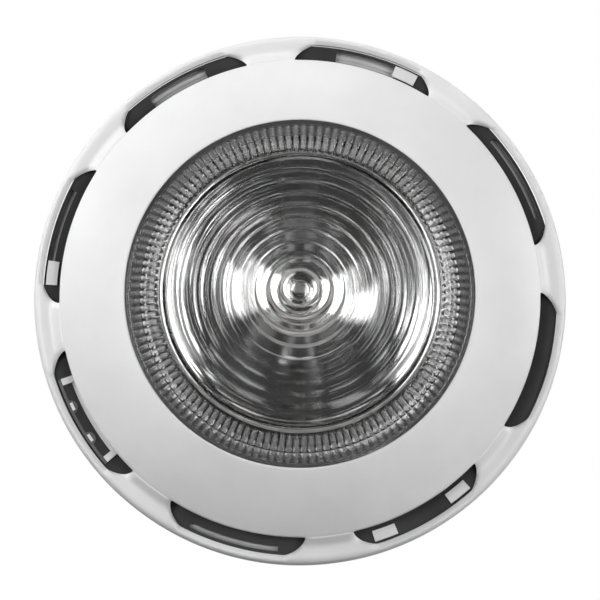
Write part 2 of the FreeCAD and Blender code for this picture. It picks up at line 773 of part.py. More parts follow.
def make_lamp_holder():
    bore = s.bulb_cap_radius + s.holder_clearance
    back = s.holder_back
    floor = s.bulb_cap_back + 5
    holder = turned("lamp_holder", [
        (bore, s.holder_front), (s.holder_radius, s.holder_front), (s.holder_radius, back),
        (0, back), (0, floor), (bore, floor)])
    pin_side = s.bulb_cap_radius + 1.3
    entry = [(-1.3, -1.4), (pin_side, -1.4), (pin_side, 1.4), (-1.3, 1.4)]
    pocket(holder, s.holder_front - 1, s.bulb_cap_back - 4 - s.holder_front + 1.2,
           lambda k: draw_outline(k, entry), 2, -20)
    track = [(0, 0), polar(pin_side, -28.5), Via(*polar(pin_side, -10)), polar(pin_side, 8.5)]
    pocket(holder, s.bulb_cap_back - 6.2, 2.4, lambda k: draw_outline(k, track), 2)
    for place_x in (8.5, -8.5):
        pocket(holder, back - 6, 8, lambda k: draw_circle(k, place_x, 0, 1.52))
    for place_z in (2.4, -2.4):
        pocket(holder, floor - 1, back - floor + 2, lambda k: draw_circle(k, 0, place_z, 1.0))
    keep(holder)
    tip = s.bulb_cap_back + 1.75
    spring = turned("holder_spring", [
        (0, 0), (1.4, 0), (1.4, floor - tip - 0.2), (0.9, floor - tip - 0.2),
        (0.9, back - tip + 1), (0, back - tip + 1)])
    group("holder_springs", spring, [place(angle, 2.4, tip.value) for angle in (90, 270)])


def make_holder_bracket():
    half_length, half_width = s.bracket_strap_half_length, s.bracket_strap_width / 2
    strap = new_body("holder_bracket")
    outline = [(-half_length, -half_width), (half_length, -half_width),
               (half_length, half_width), (-half_length, half_width)]
    pad(strap, s.holder_back, s.bracket_strap_sheet, lambda k: draw_outline(k, outline))
    holes = ((s.post_offset, 2.2), (-s.post_offset, 2.2), (as_size(8.5), 1.7), (as_size(-8.5), 1.7))
    for place_x, radius in holes:
        pocket(strap, s.holder_back - 1, s.bracket_strap_sheet + 2,
               lambda k: draw_circle(k, place_x, 0, radius))
    window = [(-4, -5.5), (4, -5.5), (4, 5.5), (-4, 5.5)]
    pocket(strap, s.holder_back - 1, s.bracket_strap_sheet + 2, lambda k: draw_outline(k, window))
    keep(strap)
    screw = pan_screw("bracket_screw", as_size(3.6), as_size(2), as_size(2), as_size(10))
    group("bracket_screws", screw,
          [place(angle, SIZES["post_offset"], SIZES["holder_back"]) for angle in (0, 180)])
    small = pan_screw("holder_screw", as_size(2.6), as_size(1.6), as_size(1.5), as_size(6.5))
    back = SIZES["holder_back"] + SIZES["bracket_strap_sheet"]
    flip = Rotation(Vector(0, 0, 1), 180)
    group("holder_screws", small, [Placement(Vector(x, back, 0), flip) for x in (8.5, -8.5)])


def box(label, x, y, z, size_x, size_y, size_z):
    block = doc.addObject("Part::Box", label)
    block.Length, block.Width, block.Height = size_x, size_y, size_z
    block.Placement = Placement(Vector(x, y, z), Rotation())
    return block


def cut(label, base, tools):
    gathered = doc.addObject("Part::MultiFuse", f"{label}_tools")
    gathered.Shapes = tools
    result = doc.addObject("Part::Cut", label)
    result.Base = base
    result.Tool = gathered
    result.Label = label
    doc.recompute()
    return result


def cylinder(label, x, y, z, radius, length, direction):
    rod = doc.addObject("Part::Cylinder", label)
    rod.Radius, rod.Height = radius, length
    rod.Placement = Placement(Vector(x, y, z), Rotation(Vector(0, 0, 1), direction))
    return rod


TERMINAL_Z = -34
TERMINAL_X = 6
BLOCK_BACK = 46


def make_terminals():
    """A two-way block on a shelf of the bowl's back, below the gland, with one lead to each lamp contact."""
    block = box("terminal_body", -13, BLOCK_BACK - 12, TERMINAL_Z - 8, 26, 12, 14)
    tools = []
    for side in (-1, 1):
        x = side * TERMINAL_X
        tools.append(cylinder(f"terminal_wire_hole_{side + 1}", x, BLOCK_BACK - 7, TERMINAL_Z - 12, 1.3, 24,
                              Vector(0, 0, 1)))
        tools.append(cylinder(f"terminal_screw_hole_{side + 1}", x, BLOCK_BACK - 13, TERMINAL_Z - 2, 1.72, 6,
                              Vector(0, 1, 0)))
    tools.append(cylinder("terminal_fixing_hole", 0, BLOCK_BACK - 13, TERMINAL_Z - 1, 1.72, 20,
                          Vector(0, 1, 0)))
    keep(cut("terminal_block", block, tools))
    screw = pan_screw("terminal_screw", as_size(1.65), as_size(1.2), as_size(1.1), as_size(2.6))
    spots = [Placement(Vector(side * TERMINAL_X, BLOCK_BACK - 11, TERMINAL_Z - 2), Rotation())
             for side in (-1, 1)]
    group("terminal_screws", screw, spots)
    fixing = pan_screw("terminal_fixing_screw", as_size(3), as_size(1.8), as_size(1.6), as_size(17))
    group("terminal_block_screw", fixing, [Placement(Vector(0, BLOCK_BACK - 12, TERMINAL_Z - 1), Rotation())])


def rounded_wire(points, radius):
    """Straight runs through the points, joined by tangent arcs of one radius."""
    edges, last = [], points[0]
    for before, corner, after in zip(points, points[1:], points[2:]):
        into, out = (corner - before).normalize(), (after - corner).normalize()
        half = into.getAngle(out) / 2
        setback = radius * math.tan(half)
        start, end = corner - into * setback, corner + out * setback
        middle_way = (out - into).normalize()
        middle = corner + middle_way * (radius / math.cos(half) - radius)
        edges.append(Part.LineSegment(last, start).toShape())
        edges.append(Part.Arc(start, middle, end).toShape())
        last = end
    edges.append(Part.LineSegment(last, points[-1]).toShape())
    return Part.Wire(edges)


def lead(label, side):
    """A thin insulated lead from the top of the terminal block to the back of the lamp holder."""
    x, z = side * TERMINAL_X, 2.4 * side
    start = Vector(x, BLOCK_BACK - 7, TERMINAL_Z + 4)
    points = [start, Vector(x, BLOCK_BACK - 7, z), Vector(0, BLOCK_BACK - 7, z),
              Vector(0, SIZES["holder_back"] + 1.2, z)]
    path = rounded_wire(points, 2.4)
    profile = Part.Wire(Part.makeCircle(0.85, start, Vector(0, 0, 1)))
    tube = doc.addObject("Part::Feature", label)
    tube.Label = label
    tube.Shape = path.makePipeShell([profile], True, True)
    keep(tube)


def make_gland():
    thread, bore = s.gland_thread_radius, s.gland_bore_radius
    seat, flats = s.gland_seat, s.gland_flats_radius
    corner = flats / math.cos(math.radians(30))
    flange, mouth = seat + 8, seat + 20
    keep(turned("gland_o_ring", [
        (thread + 0.3, seat), (thread + 3.4, seat), (thread + 3.4, seat + 2), (thread + 0.3, seat + 2)]))
    turned_body = turned("gland_body_turned", [
        (bore, seat - 13), (thread, seat - 13), (thread, seat + 2), (corner, seat + 2), (corner, flange),
        (thread, flange), (thread, mouth), (8.3, mouth), (8.3, seat + 13.5), (bore, seat + 13.5)])
    keep(hex_solid("gland_body", turned_body, flats, seat - 14, as_size(40)))
    inside = s.bowl_back - s.bowl_wall
    nut = turned("gland_locknut_turned", [
        (thread + 0.02, inside - 5), (corner, inside - 5), (corner, inside), (thread + 0.02, inside)])
    keep(hex_solid("gland_locknut", nut, flats, inside - 6, as_size(8)))
    keep(turned("gland_seal", [
        (s.cable_bore_radius, seat + 13.5), (8.2, seat + 13.5), (8.2, seat + 22), (6.6, seat + 24),
        (s.cable_bore_radius, seat + 24)]))
    keep(turned("gland_washer", [(5.4, seat + 24), (8.0, seat + 24), (8.0, seat + 24.8), (5.4, seat + 24.8)]))
    dome = turned("gland_nut_turned", [
        (thread + 0.06, flange + 1.5), (corner, flange + 1.5), (corner, seat + 22),
        (flats - 1, seat + 23.2), Via(flats - 3.3, seat + 30), (8.5, seat + 33), (5.7, seat + 33),
        (5.7, seat + 25.1), (8.5, seat + 25.1), (8.5, mouth + 0.4), (thread + 0.06, mouth + 0.4)])
    keep(hex_solid("gland_nut", dome, flats, flange, as_size(40)))


make_face_ring()
make_lens()
make_lens_gasket()
make_clamp_ring()
make_clamp_fasteners()
make_housing_bowl()
make_carrier_ring()
make_clips_and_bracket()
make_unit_screws()
make_base_ring()
make_wall_gasket()
make_reflector()
make_bulb()
make_lamp_holder()
make_holder_bracket()
make_terminals()
lead("live_lead", 1)
lead("neutral_lead", -1)
make_gland()

doc.recompute()
for thing in doc.Objects:
    for word in ("Invalid", "Error"):
        assert word not in thing.State, f"{thing.Label} is {word}"
for thing in finished:
    assert not thing.Shape.isNull(), f"{thing.Label} is empty"
    assert thing.Shape.isValid(), f"{thing.Label} isn't valid"
for thing in finished:
    thing.Shape.exportStep(f"parts/{thing.Label}.step")
    print(f"{thing.Label}: {len(thing.Shape.Solids)} solids, {thing.Shape.Volume:.0f} mm3")
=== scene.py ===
import json
import math

import bmesh
import bpy
from mathutils import Matrix, Vector


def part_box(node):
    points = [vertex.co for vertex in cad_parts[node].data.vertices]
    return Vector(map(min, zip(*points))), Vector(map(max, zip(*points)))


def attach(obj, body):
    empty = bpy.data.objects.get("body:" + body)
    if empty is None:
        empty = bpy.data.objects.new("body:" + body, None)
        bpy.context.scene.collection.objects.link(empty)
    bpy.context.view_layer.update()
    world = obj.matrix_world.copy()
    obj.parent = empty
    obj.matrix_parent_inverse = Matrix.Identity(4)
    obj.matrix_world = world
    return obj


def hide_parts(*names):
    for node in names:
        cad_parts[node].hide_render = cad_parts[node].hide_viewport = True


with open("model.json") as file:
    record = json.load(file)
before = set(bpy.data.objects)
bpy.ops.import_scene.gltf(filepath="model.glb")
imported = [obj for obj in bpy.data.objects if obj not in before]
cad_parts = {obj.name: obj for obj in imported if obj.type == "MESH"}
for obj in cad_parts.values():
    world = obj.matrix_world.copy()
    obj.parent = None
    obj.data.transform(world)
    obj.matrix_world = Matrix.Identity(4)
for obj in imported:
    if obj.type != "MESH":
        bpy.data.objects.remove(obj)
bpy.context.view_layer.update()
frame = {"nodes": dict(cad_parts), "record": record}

MM = 0.001
NODES = frame["nodes"]
SLOT_OF = {p["node"]: p["material_slot"] for p in frame["record"]["subparts"]}


# ---------------------------------------------------------------- sizes, in millimetres, from the frame

def front_of(node):
    """How far the node reaches in front of the wall plane."""
    return -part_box(node)[0].y / MM


def radius_of(node):
    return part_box(node)[1].x / MM


OUTER = radius_of("face_ring")
LENS_FRONT = front_of("lens")
LIP_FRONT = front_of("face_ring")
LIP_RADIUS = OUTER - 46.6
EDGE_RADIUS = OUTER - 13.1
EDGE_FRONT = LIP_FRONT - 17.6
CROWN_RADIUS = OUTER - 29.5
CROWN_FRONT = LIP_FRONT - 7.1
RIM_FRONT = LIP_FRONT - 22.1
RIM_INNER = OUTER - 3.8
RIM_GAP = 0.6
SLOT_OUTER = OUTER - 4.4
SLOTS = 8
SECTOR = 360 / SLOTS
SLOT_INNER_HALF = 16.75
SLOT_OUTER_HALF = 12.0
SHELL = 2.3

FLUTES = 130
FLUTE_OUTER = 86.0
FLUTE_INNER = 73.0
TIER_RADIUS = 80
LENS_STEP_RADIUS = 89.4
LENS_STEP_FRONT = LENS_FRONT - 18.2
LENS_FLANGE_RADIUS = radius_of("lens")
LENS_FLANGE_FRONT = 26.8
LENS_BACK = 23.8
DISC_RADIUS = 70.8
DISC_FRONT = 40.8
SHOULDER_RADIUS = 58.0
SHOULDER_FRONT = 47.2
RING_PITCH = 6.1
BUTTON_RADIUS = 5.4
LENS_WALL = 3.4
BOWL_EDGE = 70 * MM


# ---------------------------------------------------------------- mesh helpers

def smoothstep(t):
    t = min(1.0, max(0.0, t))
    return t * t * (3 - 2 * t)


def mix(a, b, t):
    return a + (b - a) * t


def point(radius, angle, front):
    """A point at a radius and an angle in degrees, so far in front of the wall plane."""
    a = math.radians(angle)
    return Vector((radius * math.cos(a), -front, radius * math.sin(a))) * MM


def new_object(name, verts, faces):
    mesh = bpy.data.meshes.new(name)
    mesh.from_pydata(verts, [], faces)
    mesh.validate()
    obj = bpy.data.objects.new(name, mesh)
    bpy.context.scene.collection.objects.link(obj)
    work = bmesh.new()
    work.from_mesh(mesh)
    bmesh.ops.recalc_face_normals(work, faces=work.faces)
    work.to_mesh(mesh)
    work.free()
    for face in mesh.polygons:
        face.use_smooth = True
    return obj


def lathe(name, outline, columns, wobble=None):
    """Turn a closed outline of (radius, front) round the axis; points on the axis close it."""
    verts, faces, rings = [], [], []
    for row, (radius, front) in enumerate(outline):
        if radius < 1e-6:
            rings.append([len(verts)])
            verts.append(point(0, 0, front))
            continue
        ring = []
        for column in range(columns):
            angle = 360 * column / columns
            lift = wobble(row, radius, angle) if wobble else 0
            ring.append(len(verts))
            verts.append(point(radius, angle, front + lift))
        rings.append(ring)
    for row, ring in enumerate(rings):
        after = rings[(row + 1) % len(rings)]
        if len(ring) == 1 and len(after) == 1:
            continue
        for column in range(columns):
            beside = (column + 1) % columns
            if len(ring) == 1:
                faces.append((ring[0], after[column], after[beside]))
            elif len(after) == 1:
                faces.append((ring[column], after[0], ring[beside]))
            else:
                faces.append((ring[column], after[column], after[beside], ring[beside]))
    return new_object(name, verts, faces)


def arc_points(start, middle, end, count):
    """Points on the circle through three (radius, front) points, from start to end."""
    (ax, ay), (bx, by), (cx, cy) = start, middle, end
    d = 2 * (ax * (by - cy) + bx * (cy - ay) + cx * (ay - by))
    a2, b2, c2 = ax * ax + ay * ay, bx * bx + by * by, cx * cx + cy * cy
    ux = (a2 * (by - cy) + b2 * (cy - ay) + c2 * (ay - by)) / d
    uy = (a2 * (cx - bx) + b2 * (ax - cx) + c2 * (bx - ax)) / d
    size = math.hypot(ax - ux, ay - uy)
    a0, a1 = math.atan2(ay - uy, ax - ux), math.atan2(cy - uy, cx - ux)
    if a1 - a0 > math.pi:
        a1 -= 2 * math.pi
    if a0 - a1 > math.pi:
        a1 += 2 * math.pi
    turns = [mix(a0, a1, i / count) for i in range(count + 1)]
    return [(ux + size * math.cos(t), uy + size * math.sin(t)) for t in turns]


def subdivide(obj, levels):
    mod = obj.modifiers.new("subdivision", "SUBSURF")
    mod.levels = levels
    mod.render_levels = levels


# ---------------------------------------------------------------- materials

def new_material(name):
    mat = bpy.data.materials.new(name)
    mat.use_nodes = True
    nodes, links = mat.node_tree.nodes, mat.node_tree.links
    return mat, nodes, links, nodes["Principled BSDF"]


def object_coordinates(nodes, links, stretch=(1, 1, 1)):
    coords = nodes.new("ShaderNodeTexCoord")
    mapping = nodes.new("ShaderNodeMapping")
    mapping.inputs["Scale"].default_value = stretch
    links.new(coords.outputs["Object"], mapping.inputs["Vector"])
    return mapping.outputs["Vector"]


def noise(nodes, links, vector, scale, detail=4, rough=0.55):
    tex = nodes.new("ShaderNodeTexNoise")
    tex.inputs["Scale"].default_value = scale
    tex.inputs["Detail"].default_value = detail
    tex.inputs["Roughness"].default_value = rough
    links.new(vector, tex.inputs["Vector"])
    return tex.outputs["Fac"]


def ramp(nodes, links, value, low, high, start=0.35, end=0.65):
    node = nodes.new("ShaderNodeValToRGB")
    node.color_ramp.elements[0].position = start
    node.color_ramp.elements[0].color = (*low, 1)
    node.color_ramp.elements[1].position = end
    node.color_ramp.elements[1].color = (*high, 1)
    links.new(value, node.inputs["Fac"])
    return node.outputs["Color"]


def remap(nodes, links, value, low, high):
    node = nodes.new("ShaderNodeMapRange")
    node.inputs["From Min"].default_value = 0.3
    node.inputs["From Max"].default_value = 0.7
    node.inputs["To Min"].default_value = low
    node.inputs["To Max"].default_value = high
    links.new(value, node.inputs["Value"])
    return node.outputs["Result"]


def bump(nodes, links, value, strength, distance):
    node = nodes.new("ShaderNodeBump")
    node.inputs["Strength"].default_value = strength
    node.inputs["Distance"].default_value = distance
    links.new(value, node.inputs["Height"])
    return node.outputs["Normal"]


def grey(value, warm=0.0):
    return (value * (1 + warm), value, value * (1 - warm))


def surface(name, low, high, rough, scale, grain, grain_strength, metallic=0.0, stretch=(1, 1, 1)):
    """A procedural finish: mottled colour, uneven gloss and a fine grain in the surface."""
    mat, nodes, links, shader = new_material(name)
    vector = object_coordinates(nodes, links, stretch)
    mottle = noise(nodes, links, vector, scale)
    fine = noise(nodes, links, vector, grain, 3, 0.6)
    links.new(ramp(nodes, links, mottle, low, high), shader.inputs["Base Color"])
    links.new(remap(nodes, links, mottle, rough[0], rough[1]), shader.inputs["Roughness"])
    links.new(bump(nodes, links, fine, grain_strength, 0.0004), shader.inputs["Normal"])
    shader.inputs["Metallic"].default_value = metallic
    return mat


def radial_distance(nodes, links):
    """Distance from the lamp's axis, for turning marks."""
    coords = nodes.new("ShaderNodeTexCoord")
    flatten = nodes.new("ShaderNodeVectorMath")
    flatten.operation = "MULTIPLY"
    flatten.inputs[1].default_value = (1, 0, 1)
    links.new(coords.outputs["Object"], flatten.inputs[0])
    length = nodes.new("ShaderNodeVectorMath")
    length.operation = "LENGTH"
    links.new(flatten.outputs["Vector"], length.inputs[0])
    return length.outputs["Value"]


def past_bowl(nodes, links, distance, inside, outside):
    """One value on the polished bowl and another on the flange round it."""
    node = nodes.new("ShaderNodeMapRange")
    node.inputs["From Min"].default_value = BOWL_EDGE
    node.inputs["From Max"].default_value = BOWL_EDGE + 0.0006
    node.inputs["To Min"].default_value = inside
    node.inputs["To Max"].default_value = outside
    links.new(distance, node.inputs["Value"])
    return node.outputs["Result"]


def spun_mirror():
    """Spun aluminium: bright inside the bowl, dull and satin on its flange, with fine turning marks."""
    mat, nodes, links, shader = new_material("spun_mirror")
    distance = radial_distance(nodes, links)
    marks = nodes.new("ShaderNodeTexNoise")
    marks.noise_dimensions = "1D"
    marks.inputs["Scale"].default_value = 900
    marks.inputs["Detail"].default_value = 3
    links.new(distance, marks.inputs["W"])
    satin = past_bowl(nodes, links, distance, 0.045, 0.2)
    vector = object_coordinates(nodes, links)
    blotch = remap(nodes, links, noise(nodes, links, vector, 60), 0.8, 1.4)
    gloss = nodes.new("ShaderNodeMath")
    gloss.operation = "MULTIPLY"
    links.new(satin, gloss.inputs[0])
    links.new(blotch, gloss.inputs[1])
    dulled = past_bowl(nodes, links, distance, 1.0, 0.52)
    tone = nodes.new("ShaderNodeVectorMath")
    tone.operation = "SCALE"
    links.new(ramp(nodes, links, marks.outputs["Fac"], grey(0.88), grey(0.95)), tone.inputs["Vector"])
    links.new(dulled, tone.inputs["Scale"])
    links.new(tone.outputs["Vector"], shader.inputs["Base Color"])
    links.new(gloss.outputs["Value"], shader.inputs["Roughness"])
    links.new(bump(nodes, links, marks.outputs["Fac"], 0.11, 0.0002), shader.inputs["Normal"])
    shader.inputs["Metallic"].default_value = 1
    return mat


def clear_moulding(name, ior, tint, rough, frosted_with_crest_highlight=False):
    """Clear moulding or glass with faint flow marks; a frosted one scatters by its frost attribute, whose
    milky part on the lens's flute crests is a painted highlight.
    """
    mat, nodes, links, shader = new_material(name)
    vector = object_coordinates(nodes, links)
    flow = noise(nodes, links, vector, 45)
    links.new(ramp(nodes, links, flow, grey(tint - 0.02), grey(tint)), shader.inputs["Base Color"])
    links.new(bump(nodes, links, flow, 0.012, 0.0003), shader.inputs["Normal"])
    shader.inputs["IOR"].default_value = ior
    if not frosted_with_crest_highlight:
        links.new(remap(nodes, links, flow, rough[0], rough[1]), shader.inputs["Roughness"])
        shader.inputs["Transmission Weight"].default_value = 1
        return mat
    # The frost attribute lowers transmission, so frosted places turn milky white and rough: on the flute
    # crests this is a painted highlight, with real roughness.
    frost_and_crest_highlight = nodes.new("ShaderNodeAttribute")
    frost_and_crest_highlight.attribute_name = "frost_and_crest_highlight"
    clear = nodes.new("ShaderNodeMapRange")
    clear.inputs["To Min"].default_value = 1
    clear.inputs["To Max"].default_value = 0.85
    links.new(frost_and_crest_highlight.outputs["Fac"], clear.inputs["Value"])
    links.new(clear.outputs["Result"], shader.inputs["Transmission Weight"])
    haze = nodes.new("ShaderNodeMapRange")
    haze.inputs["To Min"].default_value = rough[0]
    haze.inputs["To Max"].default_value = 0.25
    links.new(frost_and_crest_highlight.outputs["Fac"], haze.inputs["Value"])
    links.new(haze.outputs["Result"], shader.inputs["Roughness"])
    return mat


def make_materials():
    return {
        "white_abs": surface("white_abs", grey(0.68), grey(0.72), (0.34, 0.44), 30, 1500, 0.04),
        "black_nylon": surface("black_nylon", grey(0.012), grey(0.022), (0.42, 0.58), 60, 1200, 0.12),
        "slate_abs": surface("slate_abs", grey(0.10), grey(0.14), (0.38, 0.5), 40, 1200, 0.06),
        "grey_abs": surface("grey_abs", grey(0.50), grey(0.58), (0.36, 0.48), 40, 1200, 0.06),
        "graphite_abs": surface("graphite_abs", grey(0.045), grey(0.065), (0.45, 0.58), 50, 900, 0.25),
        "clear_lens": clear_moulding("clear_lens", 1.49, 0.98, (0.008, 0.02), True),
        "silicone": surface("silicone", grey(0.26), grey(0.32), (0.6, 0.75), 80, 1500, 0.1),
        "spun_mirror": spun_mirror(),
        "stainless": surface("stainless", grey(0.5), grey(0.64), (0.22, 0.36), 120, 1500, 0.1, 1.0,
                             (1, 6, 1)),
        "brass": surface("brass", (0.6, 0.42, 0.16), (0.74, 0.54, 0.24), (0.24, 0.38), 150, 1500, 0.1, 1.0),
        "quartz": clear_moulding("quartz", 1.46, 0.99, (0.005, 0.02)),
        "nickel": surface("nickel", grey(0.62, 0.02), grey(0.72, 0.02), (0.16, 0.26), 150, 1500, 0.06, 1.0),
        "ceramic": surface("ceramic", grey(0.74, 0.02), grey(0.82, 0.02), (0.5, 0.66), 70, 900, 0.15),
        "tungsten": surface("tungsten", grey(0.2), grey(0.3), (0.3, 0.45), 300, 2500, 0.2, 1.0),
        "black_insulation": surface("black_insulation", grey(0.02), grey(0.035), (0.4, 0.52), 90, 1800, 0.06),
        "white_insulation": surface("white_insulation", grey(0.7), grey(0.78), (0.4, 0.52), 90, 1800, 0.06),
    }


def dress(obj, slot):
    obj.data.materials.clear()
    obj.data.materials.append(MATERIALS[slot])


def dress_frame():
    """Every carried-over CAD node gets its finish, and smooth shading that breaks at its edges."""
    for name, obj in NODES.items():
        dress(obj, SLOT_OF[name])
        for face in obj.data.polygons:
            face.use_smooth = True
        weld = obj.modifiers.new("weld", "WELD")
        weld.merge_threshold = 1e-6
        edges = obj.modifiers.new("edges", "EDGE_SPLIT")
        edges.split_angle = math.radians(28)


MATERIALS = make_materials()


# ---------------------------------------------------------------- face ring

def slot_half_angle(radius):
    """Half the angle of a water slot: wide at its inner edge, with ends that bulge and round off outwards."""
    q = min(1.0, max(0.0, (radius - EDGE_RADIUS) / (SLOT_OUTER - EDGE_RADIUS)))
    return SLOT_OUTER_HALF + (SLOT_INNER_HALF - SLOT_OUTER_HALF) * (1 - q ** 1.8) ** 0.85


def crown_front(radius):
    """The annulus is a shallow arch from the lens opening to the slots."""
    start, middle, end = (LIP_RADIUS, LIP_FRONT), (CROWN_RADIUS, CROWN_FRONT), (EDGE_RADIUS, EDGE_FRONT)
    points = arc_points(start, middle, end, 24)
    for (r0, f0), (r1, f1) in zip(points, points[1:]):
        if radius <= r1 + 1e-9:
            return mix(f0, f1, (radius - r0) / (r1 - r0))
    return EDGE_FRONT


def land_front(radius):
    """Between slots the face falls steeply behind the annulus and runs out flat to the rim."""
    fall = smoothstep((radius - EDGE_RADIUS) / 5.0)
    return mix(EDGE_FRONT, RIM_FRONT, fall)


def ring_rows():
    """(radius, front, back) of each row from the lens opening to the rim, and whether a slot cuts it."""
    rows = []
    for step in range(13):
        radius = mix(LIP_RADIUS + 0.6, EDGE_RADIUS - 0.9, step / 12)
        rows.append((radius, crown_front(radius), False))
    rows.append((EDGE_RADIUS - 0.25, crown_front(EDGE_RADIUS - 0.25) - 0.05, False))
    for share in (0.0, 0.05, 0.15, 0.3, 0.45, 0.6, 0.75, 0.88, 0.96, 1.0):
        radius = mix(EDGE_RADIUS, SLOT_OUTER, share)
        rows.append((radius, land_front(radius) - (0.25 if share == 0 else 0), True))
    return rows


# Places across half a land, from 0 at the slot's side to 1 at the land's middle, closest at the side.
LAND_SHARES = (0, 0.02, 0.06, 0.12, 0.2, 0.31, 0.46, 0.7, 1)


def side_roll(radius, gap):
    """How far the skin rolls back beside a slot, gap millimetres along the land from the slot's side."""
    near = max(0.0, 1 - gap / 4.2)
    depth = 1.9 * smoothstep((radius - EDGE_RADIUS + 0.6) / 2.4) * smoothstep((OUTER - 0.8 - radius) / 4.0)
    return depth * near ** 2


def make_face_ring():
    """One closed shell: front and back skins on one grid, joined round the slots and at both edges."""
    shares = [*LAND_SHARES, *(2 - s for s in LAND_SHARES[-2::-1])]
    land_cells, slot_cells = len(shares) - 1, 26
    per_sector = land_cells + slot_cells
    columns = per_sector * SLOTS
    rows = ring_rows()
    first_slot_row = next(i for i, r in enumerate(rows) if r[2])
    last_slot_row = len(rows) - 1

    def column_place(column, half, radius):
        """The column's angle and, on a land, its distance in millimetres from the nearest slot side."""
        sector, cell = divmod(column, per_sector)
        land = SECTOR / 2 - half
        if cell <= land_cells:
            side = min(shares[cell], 2 - shares[cell]) * land
            return sector * SECTOR + land * (shares[cell] - 1), math.radians(side) * radius
        return sector * SECTOR + land + 2 * half * (cell - land_cells) / slot_cells, 0

    rim = [(SLOT_OUTER + 0.5, RIM_FRONT), (SLOT_OUTER + 1.4, RIM_FRONT - 0.05),
           (SLOT_OUTER + 2.4, RIM_FRONT - 0.35), (SLOT_OUTER + 3.3, RIM_FRONT - 0.95),
           (SLOT_OUTER + 4.0, RIM_FRONT - 1.9), (OUTER - 0.08, RIM_FRONT - 3.1),
           (OUTER, RIM_FRONT - 4.6), (OUTER, RIM_FRONT * 0.4), (OUTER, RIM_GAP + 1),
           (OUTER - 0.3, RIM_GAP + 0.2), (OUTER - 1.2, RIM_GAP), (RIM_INNER + 0.8, RIM_GAP),
           (RIM_INNER, RIM_GAP + 0.6), (RIM_INNER, RIM_FRONT * 0.5), (RIM_INNER, RIM_FRONT - SHELL - 0.6)]
    lip = [(LIP_RADIUS + 2.8, LIP_FRONT - 3.6), (LIP_RADIUS + 1.7, LIP_FRONT - 1.9),
           (LIP_RADIUS + 0.4, LIP_FRONT - 1.7), (LIP_RADIUS, LIP_FRONT - 1.2),
           (LIP_RADIUS + 0.05, LIP_FRONT - 0.4)]

    loop = [(radius, front, slot_half_angle(radius), True) for radius, front, _ in rows]
    loop += [(radius, front, SLOT_OUTER_HALF, n < 4) for n, (radius, front) in enumerate(rim)]
    back_start = len(loop)
    for radius, front, _ in reversed(rows):
        if radius >= LIP_RADIUS + 3.5:
            thick = SHELL * (1.16 if radius < EDGE_RADIUS else 1.0)
            loop.append((radius, front - thick, slot_half_angle(radius), False))
    loop += [(radius, front, slot_half_angle(LIP_RADIUS), False) for radius, front in lip]

    verts, faces = [], []
    for radius, front, half, rolled in loop:
        for column in range(columns):
            angle, gap = column_place(column, half, radius)
            roll = side_roll(radius, gap) if rolled else 0
            verts.append(point(radius, angle, front - roll))

    def vertex(row, column):
        return (row % len(loop)) * columns + column % columns

    def in_slot(column):
        return column % per_sector >= land_cells

    back_of = {row: back_start + last_slot_row - row for row in range(len(rows))}
    slot_rows = range(first_slot_row, last_slot_row)
    slot_rows_back = range(back_of[last_slot_row], back_of[first_slot_row])
    for row in range(len(loop)):
        for column in range(columns):
            if in_slot(column) and (row in slot_rows or row in slot_rows_back):
                continue
            faces.append((vertex(row, column), vertex(row, column + 1),
                          vertex(row + 1, column + 1), vertex(row + 1, column)))
    for column in range(columns):
        if in_slot(column):
            for row in (first_slot_row, last_slot_row):
                faces.append((vertex(row, column), vertex(row, column + 1),
                              vertex(back_of[row], column + 1), vertex(back_of[row], column)))
        if column % per_sector in (land_cells, 0):
            for row in slot_rows:
                faces.append((vertex(row, column), vertex(row + 1, column),
                              vertex(back_of[row + 1], column), vertex(back_of[row], column)))
    used = sorted({v for face in faces for v in face})
    renumber = {v: n for n, v in enumerate(used)}
    kept_faces = [tuple(renumber[v] for v in face) for face in faces]
    ring = new_object("trim_ring", [verts[v] for v in used], kept_faces)
    subdivide(ring, 1)
    dress(ring, "white_abs")
    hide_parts("face_ring")
    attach(ring, "trim")


# ---------------------------------------------------------------- lens

